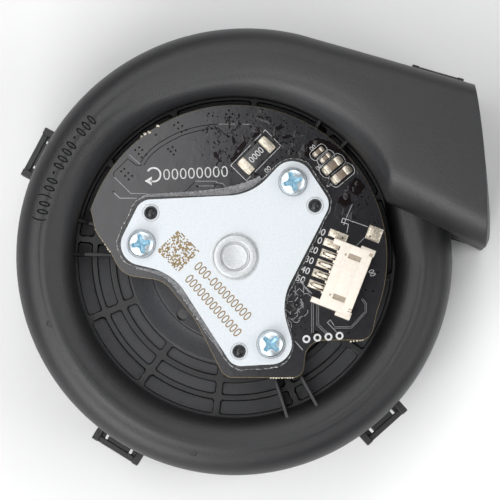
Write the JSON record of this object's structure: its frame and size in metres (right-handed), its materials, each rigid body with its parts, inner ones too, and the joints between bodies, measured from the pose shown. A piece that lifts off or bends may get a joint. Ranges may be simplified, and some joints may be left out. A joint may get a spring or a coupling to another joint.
{
  "type": "centrifugal blower module",
  "caption": "Centrifugal blower with a spiral duct rising round a bowl that holds a brushless motor, its plate and its driver board, and a side outlet.",
  "frame": {"origin": "middle of the footprint, on the surface that the intake side rests on", "axes": "+Z along the motor axis, from the intake to the driver board; +X towards the outlet mouth; +Y to the outer wall of the outlet"},
  "size_m": [0.086, 0.0812, 0.038],
  "materials": {
    "charcoal": "fine-grained moulded matte",
    "rotor_plastic": "moulded satin",
    "zinc": "zinc-plated satin, spangled",
    "screw_zinc": "bright blue zinc plating",
    "board": "glossy black solder mask with conformal coat",
    "film": "translucent frosted film",
    "cream": "natural cream nylon",
    "tin": "tinned",
    "ceramic": "fired ceramic with tinned ends",
    "chip": "moulded epoxy",
    "steel": "ground",
    "brass": "turned",
    "silicon_steel": "stamped laminations",
    "copper": "enamelled copper winding",
    "nylon": "natural nylon",
    "magnet": "sintered ferrite"
  },
  "bodies": {
    "housing": {"bearing_tube": "zinc", "capacitor_large_1": "ceramic", "capacitor_large_2": "ceramic", "capacitor_small_1": "ceramic", "capacitor_small_2": "ceramic", "connector_housing": "cream", "connector_pin_1": "tin", "connector_pin_2": "tin", "connector_pin_3": "tin", "connector_pin_4": "tin", "connector_pin_5": "tin", "driver_board": "board", "hall_sensor_1": "chip", "hall_sensor_2": "chip", "hall_sensor_3": "chip", "insulator_film": "film", "lower_bearing_outer_ring": "steel", "lower_housing": "charcoal", "motor_controller": "chip", "motor_plate": "zinc", "plate_screw_1": "screw_zinc", "plate_screw_2": "screw_zinc", "plate_screw_3": "screw_zinc", "power_transistor_1": "chip", "power_transistor_2": "chip", "power_transistor_3": "chip", "shunt_resistor": "chip", "stator_coil_1": "copper", "stator_coil_2": "copper", "stator_coil_3": "copper", "stator_coil_4": "copper", "stator_coil_5": "copper", "stator_coil_6": "copper", "stator_coil_7": "copper", "stator_coil_8": "copper", "stator_coil_9": "copper", "stator_core": "silicon_steel", "stator_insulator_lower": "nylon", "stator_insulator_upper": "nylon", "tube_end_cap": "zinc", "upper_bearing_outer_ring": "steel", "upper_housing": "charcoal"},
    "rotor": {"hub_bush": "brass", "impeller": "rotor_plastic", "impeller_shroud": "rotor_plastic", "lower_bearing_inner_ring": "steel", "retaining_ring": "steel", "rotor_cup": "steel", "rotor_magnet": "magnet", "shaft": "steel", "thrust_washer": "steel", "upper_bearing_inner_ring": "steel"},
    "upper_ball_set": {"upper_ball_cage": "steel"},
    "lower_ball_set": {"lower_ball_cage": "steel"}
  },
  "joints": [
    {"name": "rotor_spin", "type": "hinge", "parent": "housing", "child": "rotor", "pos_m": [-0.00327, -0.00078, 0.013], "axis": [0, 0, 1], "continuous": true},
    {"name": "upper_cage_spin", "type": "hinge", "parent": "housing", "child": "upper_ball_set", "pos_m": [-0.00327, -0.00078, 0.0216], "axis": [0, 0, 1], "continuous": true},
    {"name": "lower_cage_spin", "type": "hinge", "parent": "housing", "child": "lower_ball_set", "pos_m": [-0.00327, -0.00078, 0.0134], "axis": [0, 0, 1], "continuous": true}
  ],
  "couplings": [
    {"joint": "upper_cage_spin", "follows": "rotor_spin", "ratio": 0.42},
    {"joint": "lower_cage_spin", "follows": "rotor_spin", "ratio": 0.42}
  ]
}
